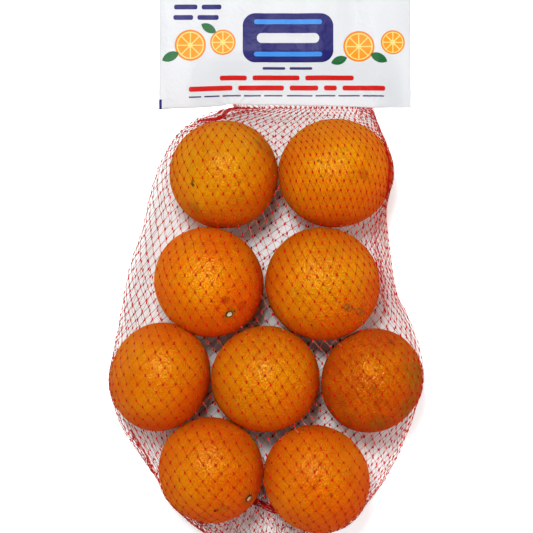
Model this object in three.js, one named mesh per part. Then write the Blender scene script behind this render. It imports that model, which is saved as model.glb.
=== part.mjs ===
// A net bag of nine oranges, lying flat with its header label towards +Y.
//
// The bag is one closed skin: a net stretched over nine fruits in one layer, flat where it lies on
// the ground and pulled out to an edge where its front and back meet. The header label is a thin
// film that starts at the neck of the net and droops to the ground.
//
// Units are millimetres. +X is across the bag, +Y runs along it towards the label and +Z is up.
// Places are measured on the ground from a point in the middle of the fruits, and the finished
// group is then moved so that its origin is the middle of its footprint.

import * as THREE from 'three'

// ---- Driving dimensions ----

const NET_THICKNESS = 0.6
const MATING_GAP = 0.3

// Each fruit is an ellipsoid: its centre on the ground, its half sizes and its turn about +Z.
const FRUITS = [
  { x: -29.4, y: 63.5, long: 37.3, wide: 37.1, tall: 37.0, turn: 9 },
  { x: 47.5, y: 64.3, long: 39.3, wide: 37.3, tall: 38.0, turn: 6 },
  { x: -39.7, y: -10.8, long: 38.4, wide: 36.9, tall: 37.5, turn: -46 },
  { x: 38.6, y: -11.9, long: 39.5, wide: 38.6, tall: 38.7, turn: -24 },
  { x: -73.4, y: -76.1, long: 34.2, wide: 37.7, tall: 36.5, turn: -19 },
  { x: -0.9, y: -77.5, long: 37.4, wide: 36.4, tall: 36.8, turn: 7 },
  { x: 72.6, y: -78.7, long: 34.3, wide: 36.4, tall: 35.8, turn: -31 },
  { x: -38.7, y: -140.4, long: 35.5, wide: 36.4, tall: 36.0, turn: 38 },
  { x: 34.5, y: -146.5, long: 35.7, wide: 37.6, tall: 36.6, turn: 37 },
]

// The edge where front and back net meet, from the neck down to the bottom of the bag: [x, y, z].
const LEFT_EDGE = [
  [-22.0, 111.0, 18], [-41.0, 106.8, 23], [-59.2, 94.5, 29], [-70.9, 77.6, 33], [-79.7, 53.8, 33],
  [-85.7, 26.8, 31], [-94.5, 1.0, 31], [-101.7, -36.7, 33], [-107.6, -73.0, 36], [-106.1, -90.8, 36],
  [-101.6, -107.5, 35], [-91.2, -124.7, 33], [-74.6, -148.1, 33], [-58.9, -171.4, 30],
  [-43.7, -184.8, 24], [-27.0, -195.0, 17], [-12.0, -200.5, 13],
]
const RIGHT_EDGE = [
  [73.6, 111.0, 18], [78.8, 95.6, 27], [84.8, 79.9, 34], [86.6, 66.6, 37], [83.8, 48.0, 35],
  [82.9, 37.7, 33], [85.4, 13.5, 31], [90.6, -19.1, 31], [97.9, -33.9, 32], [106.5, -58.8, 35],
  [107.9, -78.4, 36], [104.5, -93.9, 36], [99.2, -111.0, 34], [93.2, -126.5, 31],
  [81.8, -148.3, 31], [71.0, -162.5, 31], [57.7, -176.5, 27], [40.8, -186.6, 21],
  [22.0, -195.0, 16], [7.0, -200.5, 13],
]
const NECK_HALF_THICKNESS = 1.2

// Curvature, in 1/mm, that its own weight gives to unsupported net in front and at the back.
const FRONT_LOAD = 0.004
const BACK_LOAD = 0.17

const CELLS_ACROSS = 36
const CELLS_ALONG = 52
const EDGE_CROWDING = 0.55
const RELAX_SWEEPS = 900

const LABEL_LEFT = -75.8
const LABEL_WIDTH = 177.7
const LABEL_HEIGHT = 100
const LABEL_THICKNESS = 0.8
const LABEL_DROOP_LENGTH = 46
const LABEL_CORNER_DROP = 11
const LABEL_WAVE_HEIGHT = 1.5
const LABEL_WAVE_LENGTH = 44
const LABEL_CELLS_ACROSS = 32
const LABEL_CELLS_UP = 12

// ---- Fruits as obstacles under the net ----

// Squared distance of a ground point from a fruit's centre, as a share of its grown outline.
function outlineShare(fruit, x, y) {
  const turn = THREE.MathUtils.degToRad(fruit.turn)
  const dx = x - fruit.x
  const dy = y - fruit.y
  const along = dx * Math.cos(turn) + dy * Math.sin(turn)
  const aside = dy * Math.cos(turn) - dx * Math.sin(turn)
  return (along / (fruit.long + NET_THICKNESS)) ** 2 + (aside / (fruit.wide + NET_THICKNESS)) ** 2
}

// Half the height of a fruit and the net round it at a ground point, or null beside the fruit.
function halfHeight(fruit, x, y) {
  const share = outlineShare(fruit, x, y)
  return share < 1 ? (fruit.tall + NET_THICKNESS) * Math.sqrt(1 - share) : null
}

function fruitTop(x, y) {
  let top = 0
  for (const fruit of FRUITS) {
    const half = halfHeight(fruit, x, y)
    if (half !== null) top = Math.max(top, fruit.tall + NET_THICKNESS + half)
  }
  return top
}

function fruitUnderside(x, y) {
  let underside = Infinity
  for (const fruit of FRUITS) {
    const half = halfHeight(fruit, x, y)
    if (half !== null) underside = Math.min(underside, fruit.tall + NET_THICKNESS - half)
  }
  return underside
}

// Moves a point of the bag's edge out to the nearest fruit's outline if it lies inside it.
function clearOfFruits(point) {
  for (const fruit of FRUITS) {
    const share = outlineShare(fruit, point.x, point.y)
    if (share < 1) {
      const out = 1 / Math.sqrt(share)
      point.x = fruit.x + (point.x - fruit.x) * out
      point.y = fruit.y + (point.y - fruit.y) * out
    }
  }
  return point
}

// ---- The net's skin ----

function edgePoints(corners) {
  const curve = new THREE.CatmullRomCurve3(corners.map((c) => new THREE.Vector3(...c)))
  return curve.getSpacedPoints(CELLS_ALONG).map(clearOfFruits)
}

// Places across a row, from 0 at the left edge to 1 at the right, crowded towards both edges.
function shareAcross(column) {
  const even = column / CELLS_ACROSS
  const crowded = (1 - Math.cos(Math.PI * even)) / 2
  return THREE.MathUtils.lerp(even, crowded, EDGE_CROWDING)
}

// Rows of points from the neck to the bottom, each spanning the bag from its left to right edge.
function spanRows() {
  const left = edgePoints(LEFT_EDGE)
  const right = edgePoints(RIGHT_EDGE)
  return left.map((start, row) => {
    const points = []
    for (let column = 0; column <= CELLS_ACROSS; column++) {
      points.push(new THREE.Vector3().lerpVectors(start, right[row], shareAcross(column)))
    }
    return points
  })
}

// The height that a stretched and loaded net takes between a point's four neighbours.
function stretchedHeight(rows, row, column, load) {
  const here = rows[row][column]
  const pairs = [
    [rows[row][column - 1], rows[row][column + 1]],
    [rows[row - 1][column], rows[row + 1][column]],
  ]
  let sum = -load / 2
  let total = 0
  for (const [before, after] of pairs) {
    const back = Math.hypot(before.x - here.x, before.y - here.y)
    const ahead = Math.hypot(after.x - here.x, after.y - here.y)
    const pull = 1 / (back * ahead)
    sum += (pull * (before.z * ahead + after.z * back)) / (back + ahead)
    total += pull
  }
  return sum / total
}

// Lets the inner points settle under their load, each stopped at the height limit(x, y, z) gives.
function settle(rows, load, limit) {
  for (let sweep = 0; sweep < RELAX_SWEEPS; sweep++) {
    for (let row = 1; row < CELLS_ALONG; row++) {
      for (let column = 1; column < CELLS_ACROSS; column++) {
        const point = rows[row][column]
        point.z = limit(point.x, point.y, stretchedHeight(rows, row, column, load))
      }
    }
  }
  return rows
}

// The neck is a flat mouth, a little thicker in its middle than at its ends.
function openNeck(rows, side) {
  rows[0].forEach((point, column) => {
    const across = shareAcross(column)
    point.z += side * NECK_HALF_THICKNESS * 4 * across * (1 - across)
  })
  return rows
}

function frontRows() {
  const stopped = (x, y, z) => Math.max(z, fruitTop(x, y))
  return settle(openNeck(spanRows(), 1), FRONT_LOAD, stopped)
}

function backRows() {
  const stopped = (x, y, z) => Math.max(0, Math.min(z, fruitUnderside(x, y)))
  return settle(openNeck(spanRows(), -1), BACK_LOAD, stopped)
}

// ---- Closed shells from a front and a back sheet of points ----

// Joins two sheets of equal rows into one closed shell. Where onRim says so, they share a point.
function shellGeometry(front, back, onRim) {
  const positions = []
  const indices = []
  const addPoint = (p) => positions.push(p.x, p.y, p.z) / 3 - 1
  const frontId = front.map((row) => row.map(addPoint))
  const backId = back.map((row, r) =>
    row.map((p, c) => (onRim(r, c) ? frontId[r][c] : addPoint(p))),
  )
  const addTriangle = (a, b, c) => {
    if (a !== b && b !== c && c !== a) indices.push(a, b, c)
  }
  const addQuad = (a, b, c, d) => {
    addTriangle(a, b, c)
    addTriangle(a, c, d)
  }
  const lastRow = front.length - 1
  const lastColumn = front[0].length - 1
  for (let r = 0; r < lastRow; r++) {
    for (let c = 0; c < lastColumn; c++) {
      addQuad(frontId[r][c], frontId[r + 1][c], frontId[r + 1][c + 1], frontId[r][c + 1])
      addQuad(backId[r][c], backId[r][c + 1], backId[r + 1][c + 1], backId[r + 1][c])
    }
    addQuad(frontId[r][0], backId[r][0], backId[r + 1][0], frontId[r + 1][0])
    addQuad(
      frontId[r][lastColumn],
      frontId[r + 1][lastColumn],
      backId[r + 1][lastColumn],
      backId[r][lastColumn],
    )
  }
  for (let c = 0; c < lastColumn; c++) {
    addQuad(frontId[0][c], frontId[0][c + 1], backId[0][c + 1], backId[0][c])
    addQuad(
      frontId[lastRow][c],
      backId[lastRow][c],
      backId[lastRow][c + 1],
      frontId[lastRow][c + 1],
    )
  }
  const geometry = new THREE.BufferGeometry()
  geometry.setAttribute('position', new THREE.Float32BufferAttribute(positions, 3))
  geometry.setIndex(indices)
  geometry.computeVertexNormals()
  return geometry
}

function netBag() {
  const onRim = (row, column) => column === 0 || column === CELLS_ACROSS || row === CELLS_ALONG
  const geometry = shellGeometry(frontRows(), backRows(), onRim)
  const material = new THREE.MeshStandardMaterial({ color: 0xe0760c, roughness: 0.6, metalness: 0 })
  const mesh = new THREE.Mesh(geometry, material)
  mesh.name = 'net_bag'
  return mesh
}

// ---- The header label ----

const NECK = { left: LEFT_EDGE[0], right: RIGHT_EDGE[0] }
const NECK_HEIGHT = NECK.left[2]
const LABEL_FOOT = NECK.left[1] + MATING_GAP

// How far a place along the label's foot lies beyond the neck, from 0 at the neck to 1 at a corner.
function beyondNeck(x) {
  const leftReach = (NECK.left[0] - x) / (NECK.left[0] - LABEL_LEFT)
  const rightReach = (x - NECK.right[0]) / (LABEL_LEFT + LABEL_WIDTH - NECK.right[0])
  return THREE.MathUtils.smoothstep(Math.max(leftReach, rightReach), 0, 1)
}

// Height of the label's underside: held up at the neck, drooping to the ground, gently waved.
function labelHeight(x, y) {
  const up = y - LABEL_FOOT
  const held = 1 - THREE.MathUtils.smoothstep(up, 0, LABEL_DROOP_LENGTH)
  const foot = NECK_HEIGHT - LABEL_THICKNESS / 2 - LABEL_CORNER_DROP * beyondNeck(x)
  const phase = (2 * Math.PI * (x - LABEL_LEFT)) / LABEL_WAVE_LENGTH
  const wave = (LABEL_WAVE_HEIGHT * (1 - Math.cos(phase))) / 2
  return held * foot + (1 - held) * wave
}

function labelRows(lift) {
  const rows = []
  for (let r = 0; r <= LABEL_CELLS_UP; r++) {
    const y = LABEL_FOOT + LABEL_HEIGHT * (1 - r / LABEL_CELLS_UP)
    const row = []
    for (let c = 0; c <= LABEL_CELLS_ACROSS; c++) {
      const x = LABEL_LEFT + (LABEL_WIDTH * c) / LABEL_CELLS_ACROSS
      row.push(new THREE.Vector3(x, y, labelHeight(x, y) + lift))
    }
    rows.push(row)
  }
  return rows
}

function headerLabel() {
  const geometry = shellGeometry(labelRows(LABEL_THICKNESS), labelRows(0), () => false)
  const material = new THREE.MeshStandardMaterial({ color: 0xf2f3f4, roughness: 0.3, metalness: 0 })
  const mesh = new THREE.Mesh(geometry, material)
  mesh.name = 'header_label'
  return mesh
}

// ---- The whole bag, with its origin in the middle of its footprint ----

function centred(model) {
  const box = new THREE.Box3().setFromObject(model)
  const middle = box.getCenter(new THREE.Vector3())
  model.position.set(-middle.x, -middle.y, -box.min.z)
  return model
}

const bagOfOranges = new THREE.Group()
bagOfOranges.add(netBag(), headerLabel())

const scene = new THREE.Group()
scene.add(centred(bagOfOranges))
scene.updateMatrixWorld(true)

export default scene
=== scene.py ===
# A net bag of nine oranges with a film header, lying flat with its shown side up.
#
# Nine oranges and the knotted net round them replace the bag's solid, and two films the header's.
# Lengths are metres in the frame's axes: +X across the bag, +Y towards the header, +Z up.

import math
from collections import namedtuple

import bmesh
import bpy
import numpy as np
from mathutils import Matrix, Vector, noise
from mathutils.bvhtree import BVHTree


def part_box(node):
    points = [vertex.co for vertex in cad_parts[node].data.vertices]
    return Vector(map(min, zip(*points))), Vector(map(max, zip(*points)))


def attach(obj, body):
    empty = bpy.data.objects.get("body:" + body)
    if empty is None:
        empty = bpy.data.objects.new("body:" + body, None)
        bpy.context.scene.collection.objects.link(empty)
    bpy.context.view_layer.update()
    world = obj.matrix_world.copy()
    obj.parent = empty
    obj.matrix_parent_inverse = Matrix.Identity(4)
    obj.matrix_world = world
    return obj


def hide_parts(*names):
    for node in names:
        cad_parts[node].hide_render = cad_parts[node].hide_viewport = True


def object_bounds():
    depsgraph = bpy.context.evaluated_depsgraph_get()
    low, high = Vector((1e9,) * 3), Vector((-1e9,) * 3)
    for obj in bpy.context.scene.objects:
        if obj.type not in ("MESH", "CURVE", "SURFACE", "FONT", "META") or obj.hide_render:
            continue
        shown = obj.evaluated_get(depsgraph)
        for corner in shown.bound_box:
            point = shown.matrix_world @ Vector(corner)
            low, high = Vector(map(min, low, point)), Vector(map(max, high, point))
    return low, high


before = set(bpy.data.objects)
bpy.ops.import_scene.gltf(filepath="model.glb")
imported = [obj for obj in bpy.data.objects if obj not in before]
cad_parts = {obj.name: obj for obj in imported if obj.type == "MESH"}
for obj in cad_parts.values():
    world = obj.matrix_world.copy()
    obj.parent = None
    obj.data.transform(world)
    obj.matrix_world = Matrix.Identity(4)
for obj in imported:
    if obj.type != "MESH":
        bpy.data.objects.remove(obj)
cad_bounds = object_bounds()

MM = 0.001
SEED = 11

# The header's left end and foot as the CAD model measures them, which give the shift to the frame.
LABEL_LEFT = -75.8 * MM
LABEL_FOOT = 111.3 * MM
label_low, label_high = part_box("header_label")
SHIFT = np.array([label_low.x - LABEL_LEFT, label_low.y - LABEL_FOOT, 0.0])


def in_frame(x, y, z=0.0):
    """A point of the frame from the CAD model's own millimetres."""
    return np.array([x, y, z]) * MM + SHIFT


def colour(*display):
    """A linear colour from display values of 0 to 255."""
    shares = [value / 255 for value in display]
    return (*(s / 12.92 if s <= 0.04045 else ((s + 0.055) / 1.055) ** 2.4 for s in shares), 1.0)


# ---- What each fruit is like ----

# A mark on the peel: its offset from the fruit's centre, its size, its colour, how much it covers,
# how ragged its outline is, and the width of its line if it is only a ring.
Mark = namedtuple("Mark", "x y size tint cover ragged ring", defaults=(0.0,))
# A fruit: its place and half sizes in the CAD model's millimetres, its turn in degrees, its paler and
# its deeper display colour, its olive tinge, how pitted it is, its marks, and its stem if it shows.
Fruit = namedtuple("Fruit", "name x y long wide tall turn pale deep olive pitting marks stem",
                   defaults=((), None))

DARK = colour(70, 38, 8)
BROWN = colour(140, 70, 12)
OLIVE = colour(128, 104, 18)
# Rust for the real marks, and for the painted shade in the oil cells' pits.
RUST_AND_PIT_SHADE = colour(168, 44, 4)
SCAR = colour(132, 86, 40)
# Pale gold for a painted highlight.
PAINTED_HIGHLIGHT = colour(238, 156, 16)

FRUITS = [
    Fruit("upper_left", -29.4, 63.5, 37.3, 37.1, 37, 9, (216, 158, 13), (200, 118, 4), 0.55, 0.8, [
        (-20.9, -7.9, 2, DARK, 0.85, 1.8), (-20.1, -5.4, 1.5, DARK, 0.7, 1.4),
        (23.3, 20.9, 3, OLIVE, 0.7, 2), (25.2, 18, 2.2, OLIVE, 0.6, 2),
        (11, -6.8, 1.6, BROWN, 0.45, 1.2), (-19.9, -24.4, 7, OLIVE, 0.35, 5),
        (-32.5, -0.5, 4, OLIVE, 0.35, 3)]),
    Fruit("upper_right", 47.5, 64.3, 39.3, 37.3, 38, 6, (224, 161, 12), (210, 116, 4), 0.3, 0.9, [
        (-12.9, 6.7, 1.4, DARK, 0.75, 1), (-5.5, 12, 1.2, BROWN, 0.7, 1),
        (-10.9, -3.5, 1.3, DARK, 0.7, 1), (-4.2, -3.5, 1.2, BROWN, 0.7, 1),
        (18.9, -2.7, 5, BROWN, 0.5, 5)]),
    Fruit("middle_left", -39.7, -10.8, 38.4, 36.9, 37.5, -46, (222, 147, 11), (211, 105, 3), 0.15, 0.8, [
        (15.4, -21.8, 6.5, OLIVE, 0.55, 3), (12.4, -11.8, 4, RUST_AND_PIT_SHADE, 0.6, 3),
        (6.3, -17.9, 3, RUST_AND_PIT_SHADE, 0.45, 2.5), (23, -16, 4.5, RUST_AND_PIT_SHADE, 0.5, 3),
        (18.2, -20, 1.5, DARK, 0.9, 1)], stem=(15, -22)),
    Fruit("middle_right", 38.6, -11.9, 39.5, 38.6, 38.7, -24, (220, 152, 13), (207, 114, 4), 0.25, 1, [
        (15.4, -15.6, 2, SCAR, 0.95, 2, 0.9), (17.8, -16.8, 1.6, SCAR, 0.9, 2, 0.8),
        (24, -18.4, 2.1, SCAR, 0.95, 2.2, 0.9), (26.8, -20.2, 1.8, SCAR, 0.9, 2, 0.9),
        (21, -17.2, 1.5, SCAR, 0.7, 2.2), (29, -13.6, 1.6, SCAR, 0.45, 1.8),
        (25.2, -15.6, 1.3, SCAR, 0.4, 2), (16, -16.2, 2.6, SCAR, 0.35, 2),
        (25.4, -19.4, 2.8, SCAR, 0.35, 2),
        (7.4, -9.3, 1.2, BROWN, 0.5, 1), (11, -12, 1, BROWN, 0.5, 1)]),
    Fruit("lower_left", -73.4, -76.1, 34.2, 37.7, 36.5, -19, (217, 143, 11), (201, 101, 3), 0.2, 0.8, [
        (5.6, -16, 1.2, BROWN, 0.6, 1)]),
    Fruit("lower_middle", -0.9, -77.5, 37.4, 36.4, 36.8, 7, (219, 155, 11), (205, 111, 3), 0.15, 0.9),
    Fruit("lower_right", 72.6, -78.7, 34.3, 36.4, 35.8, -31, (209, 124, 9), (187, 84, 3), 0.3, 1.4, [
        (12.4, 27.8, 3, BROWN, 0.8, 2.5), (13.2, 26.6, 1.6, DARK, 0.5, 1.2),
        (30, 4, 15, OLIVE, 0.5, 16), (25, -17, 13, OLIVE, 0.45, 14),
        (4, -29, 11, OLIVE, 0.4, 12), (-15, -26, 9, BROWN, 0.35, 10),
        # A painted highlight: a pale gold patch where the glint lamp's highlight falls.
        (-3, 11, 7, PAINTED_HIGHLIGHT, 0.4, 12),
        (-0.8, -2.6, 3.5, BROWN, 0.45, 5), (2.6, -13, 4, BROWN, 0.25, 6),
        (-20, -14, 5, BROWN, 0.3, 6)]),
    Fruit("bottom_left", -38.2, -140.4, 35.8, 36.7, 36, 38, (217, 140, 10), (202, 100, 3), 0.2, 0.8, [
        (26.8, -18.3, 6.5, OLIVE, 0.6, 3), (3.4, -25.5, 1.5, DARK, 0.95, 0.5),
        (9, -23.6, 4.5, OLIVE, 0.35, 4)], stem=(26.8, -18.3)),
    Fruit("bottom_right", 34.5, -146.5, 35.7, 37.6, 36.6, 37, (220, 141, 10), (206, 101, 3), 0.15, 0.9, [
        (19.9, 8.2, 1.2, BROWN, 0.7, 1), (-1.2, 10.8, 1, BROWN, 0.4, 1)]),
]
NET_THICKNESS = 0.6 * MM
PEEL_SWELL = 0.35 * MM
CENTRES = np.array([in_frame(each.x, each.y, each.tall) for each in FRUITS]) + (0, 0, NET_THICKNESS)
HALF_SIZES = np.array([(each.long, each.wide, each.tall) for each in FRUITS]) * MM + PEEL_SWELL
TURNS = np.radians([each.turn for each in FRUITS])


# ---- Vectors and lines ----

def lengths(vectors):
    return np.linalg.norm(vectors, axis=-1)


def normalised(vectors):
    return vectors / np.maximum(lengths(vectors)[..., None], 1e-12)


def turned(vectors, angle):
    x, y, z = vectors[..., 0], vectors[..., 1], vectors[..., 2]
    cosine, sine = math.cos(angle), math.sin(angle)
    return np.stack([x * cosine - y * sine, x * sine + y * cosine, z], axis=-1)


def round_angles(count):
    return np.linspace(0, 2 * math.pi, count, endpoint=False)


def smooth(share):
    share = np.clip(share, 0, 1)
    return share * share * (3 - 2 * share)


def even_out(values, times):
    """Smooths values along their first axis but for the first and the last."""
    for _ in range(times):
        values[1:-1] = 0.25 * values[:-2] + 0.5 * values[1:-1] + 0.25 * values[2:]


def lift_to(points, least):
    """Lifts points that lie below a height up to it."""
    points[..., 2] = np.maximum(points[..., 2], least)


def running_total(steps):
    """The sum of the steps before each place, from 0."""
    return np.concatenate([np.zeros(steps.shape[:-1] + (1,)), np.cumsum(steps, axis=-1)], axis=-1)


def resampled(points, count):
    """A polyline's points at even steps along it."""
    along = running_total(lengths(np.diff(points, axis=0)))
    at = np.linspace(0, along[-1], count)
    return np.stack([np.interp(at, along, values) for values in points.T], axis=1)


def along_line(line, share):
    """Points at shares of the way along a line of even steps."""
    at = np.clip(share, 0, 1) * (len(line) - 1)
    first = np.minimum(at.astype(int), len(line) - 2)
    part = (at - first)[..., None]
    return line[first] * (1 - part) + line[first + 1] * part


def on_peel(index, x, y):
    """The point on top of a fruit at an offset from its centre in millimetres."""
    flat = turned(np.array([x, y, 0.0]) * MM, -TURNS[index])
    share = np.sum((flat[:2] / HALF_SIZES[index, :2]) ** 2)
    flat[2] = HALF_SIZES[index, 2] * math.sqrt(max(0.0, 1 - share))
    return CENTRES[index] + turned(flat, TURNS[index])


# ---- Meshes ----

def added(name, data):
    piece = bpy.data.objects.new(name, data)
    bpy.context.scene.collection.objects.link(piece)
    return piece


def new_mesh(name, points, groups, material):
    """A smooth mesh from points and arrays of triangles or quads."""
    mesh = bpy.data.meshes.new(name)
    faces = [face for group in groups for face in group.tolist()]
    mesh.from_pydata(points.tolist(), [], faces, shade_flat=False)
    mesh.materials.append(material)
    return mesh


def new_piece(name, points, groups, material, node):
    piece = added(name, new_mesh(name, points, groups, material))
    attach(piece, "root")
    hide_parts(node)
    return piece


def grid_faces(rows, columns, closed=False):
    """Quads between a grid's points, row by row. A closed grid joins its last column to its first."""
    row = columns * np.arange(rows - 1)[:, None]
    column = np.arange(columns - (not closed))
    here, after = row + column, row + (column + 1) % columns
    return np.stack([here, after, after + columns, here + columns], axis=-1).reshape(-1, 4)


def tube_faces(rings, spokes):
    """The faces of a closed tube of rings. Its start and its end are the two points after its rings."""
    first = np.arange(spokes)
    after = (first + 1) % spokes
    count = rings * spokes
    last = count - spokes
    ends = np.vstack([np.stack([np.full(spokes, count), after, first], axis=1),
                      np.stack([np.full(spokes, count + 1), last + first, last + after], axis=1)])
    return [ends, grid_faces(rings, spokes, True)]


def repeated(groups, size, count):
    """The faces of a count of shapes alike, of size points each."""
    number = size * np.arange(count)[:, None, None]
    return [(faces + number).reshape(-1, faces.shape[1]) for faces in groups]


# ---- Materials ----

class Shader:
    """One procedural material, with short calls for its nodes."""

    def __init__(self, name, **values):
        self.material = bpy.data.materials.new(name)
        self.material.use_nodes = True
        self.tree = self.material.node_tree
        self.place = self.node("TexCoord", "Object")
        for socket, value in values.items():
            self.set(socket.replace("_", " "), value)

    def connect(self, socket, value):
        if isinstance(value, bpy.types.NodeSocket):
            self.tree.links.new(value, socket)
        else:
            socket.default_value = value

    def set(self, socket, value):
        self.connect(self.tree.nodes["Principled BSDF"].inputs[socket], value)

    def node(self, kind, output, *values, inputs={}, **settings):
        """An output of a new node, from values for its first inputs, other inputs and settings."""
        node = self.tree.nodes.new("ShaderNode" + kind)
        for name, setting in settings.items():
            setattr(node, name, setting)
        for socket, value in [*enumerate(values), *inputs.items()]:
            self.connect(node.inputs[socket], value)
        return node.outputs[output]

    def maths(self, operation, *values):
        return self.node("Math", "Value", *values, operation=operation)

    def scaled(self, value, factor, offset=0.0):
        return self.maths("MULTIPLY_ADD", value, factor, offset)

    def vector(self, operation, *values):
        output = "Value" if operation in ("LENGTH", "DISTANCE", "DOT_PRODUCT") else "Vector"
        return self.node("VectorMath", output, *values, operation=operation)

    def part(self, vector, axis):
        return self.node("SeparateXYZ", axis, vector)

    def noise(self, size, detail=2.0, roughness=0.5, at=None):
        """Noise from 0 to 1 with features about size across."""
        inputs = {"Vector": at or self.place, "Scale": 1 / size, "Detail": detail, "Roughness": roughness}
        return self.node("TexNoise", "Fac", inputs=inputs)

    def fade(self, value, start, end):
        """0 before start and 1 after end, or the other way round where end is lower."""
        low, high = min(start, end), max(start, end)
        return self.node("MapRange", "Result", value, low, high, float(start > end), float(end > start),
                         interpolation_type="SMOOTHSTEP")

    def mix(self, share, first, second):
        return self.node("Mix", 2, inputs={0: share, 6: first, 7: second}, data_type="RGBA")

    def bump(self, height, distance, strength):
        inputs = {"Height": height, "Distance": distance, "Strength": strength}
        self.set("Normal", self.node("Bump", "Normal", inputs=inputs))


RAGGED_SIZE = 1.5 * MM
WEAR_SIZE = 2.6 * MM


def mark_cover(shader, index, mark):
    """Where a mark covers the peel, from 0 to its own cover."""
    reach = shader.vector("DISTANCE", shader.place, tuple(on_peel(index, mark.x, mark.y)))
    wander = shader.maths("SUBTRACT", shader.noise(RAGGED_SIZE, 3.0, 0.6), 0.5)
    reach = shader.scaled(wander, 2 * mark.ragged * MM, reach)
    if mark.ring:
        reach = shader.maths("ABSOLUTE", shader.maths("SUBTRACT", reach, mark.size * MM))
        share = shader.fade(reach, mark.ring * MM, 0.2 * mark.ring * MM)
        share = shader.scaled(share, shader.fade(shader.noise(WEAR_SIZE), 0.28, 0.42))
    else:
        share = shader.fade(reach, mark.size * MM, 0.45 * mark.size * MM)
    return shader.scaled(share, mark.cover)


# Peel: the size of its features, their height, and how much painted shade darkens and reddens it low down
# and on its side away from the key lamp.
TONE_SIZE = 26 * MM
PATCH_SIZE = 5 * MM
GREEN_SIZE = 34 * MM
CELL_SIZE = 1.4 * MM
LUMP_SIZE = 1.7 * MM
GRAIN_SIZE = 0.9 * MM
GLOSS_SIZE = 3 * MM
LUMP_HEIGHT = 0.68
GRAIN_HEIGHT = 0.3
PIT_DEPTH = 0.5
SHADED_SIDE = (0.6, -0.8, 0.0)
SHADED_SIDE_SHARE = 0.42
SHADED_LOW_SHARE = 0.34
PAINTED_SHADE_GREEN = 0.4


def peel(index, fruit):
    """Dimpled peel with slow changes of colour, oil cells and the fruit's marks, one of which is a painted
    highlight. Painted shade darkens and reddens it low down, on its side away from the key lamp and in the
    oil cells' pits.
    """
    shader = Shader("peel_" + fruit.name, Specular_IOR_Level=0.24, Specular_Tint=(1.0, 1.0, 0.45, 1.0),
                    Subsurface_Weight=0.5, Subsurface_Radius=(1.0, 0.15, 0.02), Subsurface_Scale=6 * MM)
    deep, middle, half = colour(*fruit.deep), CENTRES[index].tolist(), float(HALF_SIZES[index, 2])
    shift = shader.vector("ADD", shader.place, (0.17 * index, 0.0, 0.0))
    slow = shader.scaled(shader.noise(TONE_SIZE, at=shift), 0.8)
    tone = shader.scaled(shader.noise(PATCH_SIZE, 3.0, 0.6, shift), 0.5, slow)
    tint = shader.mix(shader.fade(tone, 0.28, 1.02), deep, colour(*fruit.pale))
    # Painted shade: darker and redder low down on the fruit and on its side away from the key lamp.
    height = shader.maths("SUBTRACT", shader.part(shader.place, "Z"), middle[2])
    side = shader.fade(height, 0.98 * half, 0.35 * half)
    toward_shade = shader.vector("DOT_PRODUCT", shader.vector("SUBTRACT", shader.place, middle), SHADED_SIDE)
    share = shader.scaled(shader.fade(toward_shade, 0.0, 0.75 * half), SHADED_SIDE_SHARE, shader.scaled(side, SHADED_LOW_SHARE))
    tint = shader.mix(share, tint, (deep[0], deep[1] * PAINTED_SHADE_GREEN, deep[2], 1.0))
    green = shader.fade(shader.noise(GREEN_SIZE, at=shift), 0.5, 0.75)
    tint = shader.mix(shader.scaled(green, fruit.olive * 0.35), tint, OLIVE)
    cells = {"Vector": shader.place, "Scale": 1 / CELL_SIZE, "Smoothness": 0.4}
    cell = shader.node("TexVoronoi", "Distance", inputs=cells, feature="SMOOTH_F1")
    pit = shader.fade(cell, 0.5, 0.1)
    # Painted shade in the oil cells' pits: they are tinted darker and redder.
    tint = shader.mix(shader.scaled(pit, 0.3), tint, RUST_AND_PIT_SHADE)
    for mark in (Mark(*values) for values in fruit.marks):
        tint = shader.mix(mark_cover(shader, index, mark), tint, mark.tint)
    shader.set("Base Color", tint)
    rough = shader.scaled(shader.noise(GLOSS_SIZE), 0.16, 0.18)
    shader.set("Roughness", shader.scaled(side, 0.45, rough))
    lumps = shader.scaled(shader.noise(LUMP_SIZE, 1.0, at=shift), LUMP_HEIGHT * fruit.pitting)
    height = shader.scaled(shader.noise(GRAIN_SIZE), GRAIN_HEIGHT, lumps)
    shader.bump(shader.scaled(pit, -PIT_DEPTH * fruit.pitting, height), 1.0 * MM, 1.0)
    return shader.material


# The display colours between which each kind of net plastic varies. Knots are solid and deep red.
# Strands are thin and paler. Over fruit they are darker and more orange: painted shade, with the peel's
# colour painted as if seen through them. At the back they are darker: painted shade.
PLASTICS = {
    "knot": ((182, 4, 7), (210, 8, 9)),
    "rope": ((164, 5, 8), (194, 10, 12)),
    "shaded_on_fruit": ((152, 50, 28), (182, 70, 40)),
    "slack": ((202, 124, 114), (220, 142, 130)),
    "back": ((144, 84, 78), (172, 108, 100)),
}


def net_plastic(kind):
    dark, bright = PLASTICS[kind]
    shader = Shader("net_" + kind + "_plastic", Specular_IOR_Level=0.12)
    uneven = shader.noise(3 * MM)
    shader.set("Base Color", shader.mix(uneven, colour(*dark), colour(*bright)))
    shader.set("Roughness", shader.scaled(uneven, 0.2, 0.3))
    shader.bump(shader.noise(0.5 * MM), 0.05 * MM, 0.4)
    return shader.material


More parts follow.
